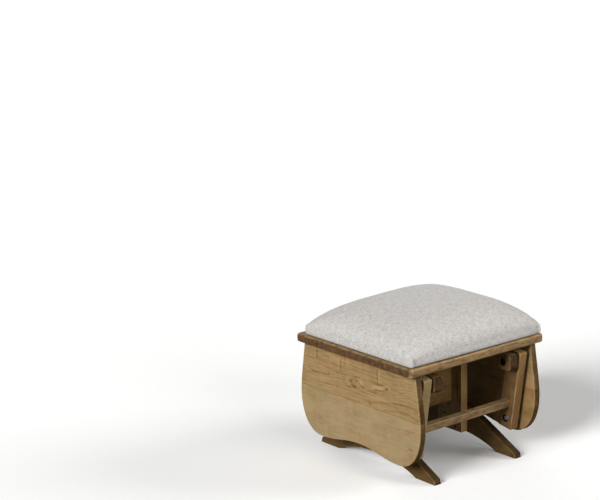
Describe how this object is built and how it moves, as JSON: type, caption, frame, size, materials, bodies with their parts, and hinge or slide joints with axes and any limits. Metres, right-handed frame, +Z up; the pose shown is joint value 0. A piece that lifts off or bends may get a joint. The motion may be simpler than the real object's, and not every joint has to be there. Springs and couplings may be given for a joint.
{
  "type": "glider ottoman",
  "caption": "Upholstered footstool on a stained wooden carriage that glides fore and aft on four leaning swing arms hung from a fixed base.",
  "frame": {"origin": "centre of the footprint, on the floor", "axes": "+X across the seat towards the right-hand side panel as seen from the open front, -Y towards the open front (the way the seat glides), +Z up; left is -X and front is -Y in the node names"},
  "size_m": [0.51, 0.508, 0.4524],
  "materials": {
    "stained_maple": "brown glazed stain with worn lighter edges under satin lacquer",
    "plywood": "bare birch plywood",
    "linen_weave": "light warm-grey linen-look plain weave over foam",
    "dark_steel": "dark blue-grey oxide on socket-head bolts",
    "bright_steel": "bright zinc plate",
    "brass": "plain turned brass"
  },
  "bodies": {
    "base": {"foot_left": "stained_maple", "foot_right": "stained_maple", "upright_left": "stained_maple", "upright_right": "stained_maple", "cross_board": "stained_maple", "hanger_rail_left": "stained_maple", "hanger_rail_right": "stained_maple", "upper_bolt_front_left": "dark_steel", "upper_bolt_front_right": "dark_steel", "upper_bolt_rear_left": "dark_steel", "upper_bolt_rear_right": "dark_steel", "upper_spacer_front_left": "bright_steel", "upper_spacer_front_right": "bright_steel", "upper_spacer_rear_left": "bright_steel", "upper_spacer_rear_right": "bright_steel", "lock_nut_front_left": "bright_steel", "lock_nut_front_right": "bright_steel", "lock_nut_rear_left": "bright_steel", "lock_nut_rear_right": "bright_steel"},
    "front_swing": {"front_arm_left": "stained_maple", "front_arm_right": "stained_maple", "front_stretcher": "stained_maple", "upper_bearing_front_left": "bright_steel", "upper_bearing_front_right": "bright_steel", "lower_bearing_front_left": "bright_steel", "lower_bearing_front_right": "bright_steel"},
    "rear_swing": {"rear_arm_left": "stained_maple", "rear_arm_right": "stained_maple", "rear_stretcher": "stained_maple", "upper_bearing_rear_left": "bright_steel", "upper_bearing_rear_right": "bright_steel"},
    "carriage": {"side_panel_left": "stained_maple", "side_panel_right": "stained_maple", "top_board": "stained_maple", "seat_board": "plywood", "seat_cushion": "linen_weave", "lower_bolt_front_left": "dark_steel", "lower_bolt_front_right": "dark_steel", "lower_bolt_rear_left": "dark_steel", "lower_bolt_rear_right": "dark_steel", "flanged_spacer_front_left": "bright_steel", "flanged_spacer_front_right": "bright_steel", "flanged_spacer_rear_left": "bright_steel", "flanged_spacer_rear_right": "bright_steel", "panel_insert_front_left": "brass", "panel_insert_front_right": "brass", "panel_insert_rear_left": "brass", "panel_insert_rear_right": "brass", "lower_bearing_rear_left": "bright_steel", "lower_bearing_rear_right": "bright_steel"}
  },
  "joints": [
    {"name": "front_swing_hinge", "type": "hinge", "parent": "base", "child": "front_swing", "pos_m": [0, -0.2065, 0.284], "axis": [1, 0, 0], "range_deg": [-15, 15]},
    {"name": "carriage_hinge", "type": "hinge", "parent": "front_swing", "child": "carriage", "pos_m": [0, -0.1775, 0.1], "axis": [1, 0, 0], "range_deg": [-17.5, 17.5]},
    {"name": "rear_swing_hinge", "type": "hinge", "parent": "base", "child": "rear_swing", "pos_m": [0, 0.2065, 0.284], "axis": [1, 0, 0], "range_deg": [-15, 15]}
  ],
  "couplings": [
    {"joint": "carriage_hinge", "follows": "front_swing_hinge", "ratio": -1.1634},
    {"joint": "rear_swing_hinge", "follows": "front_swing_hinge", "ratio": 1}
  ]
}
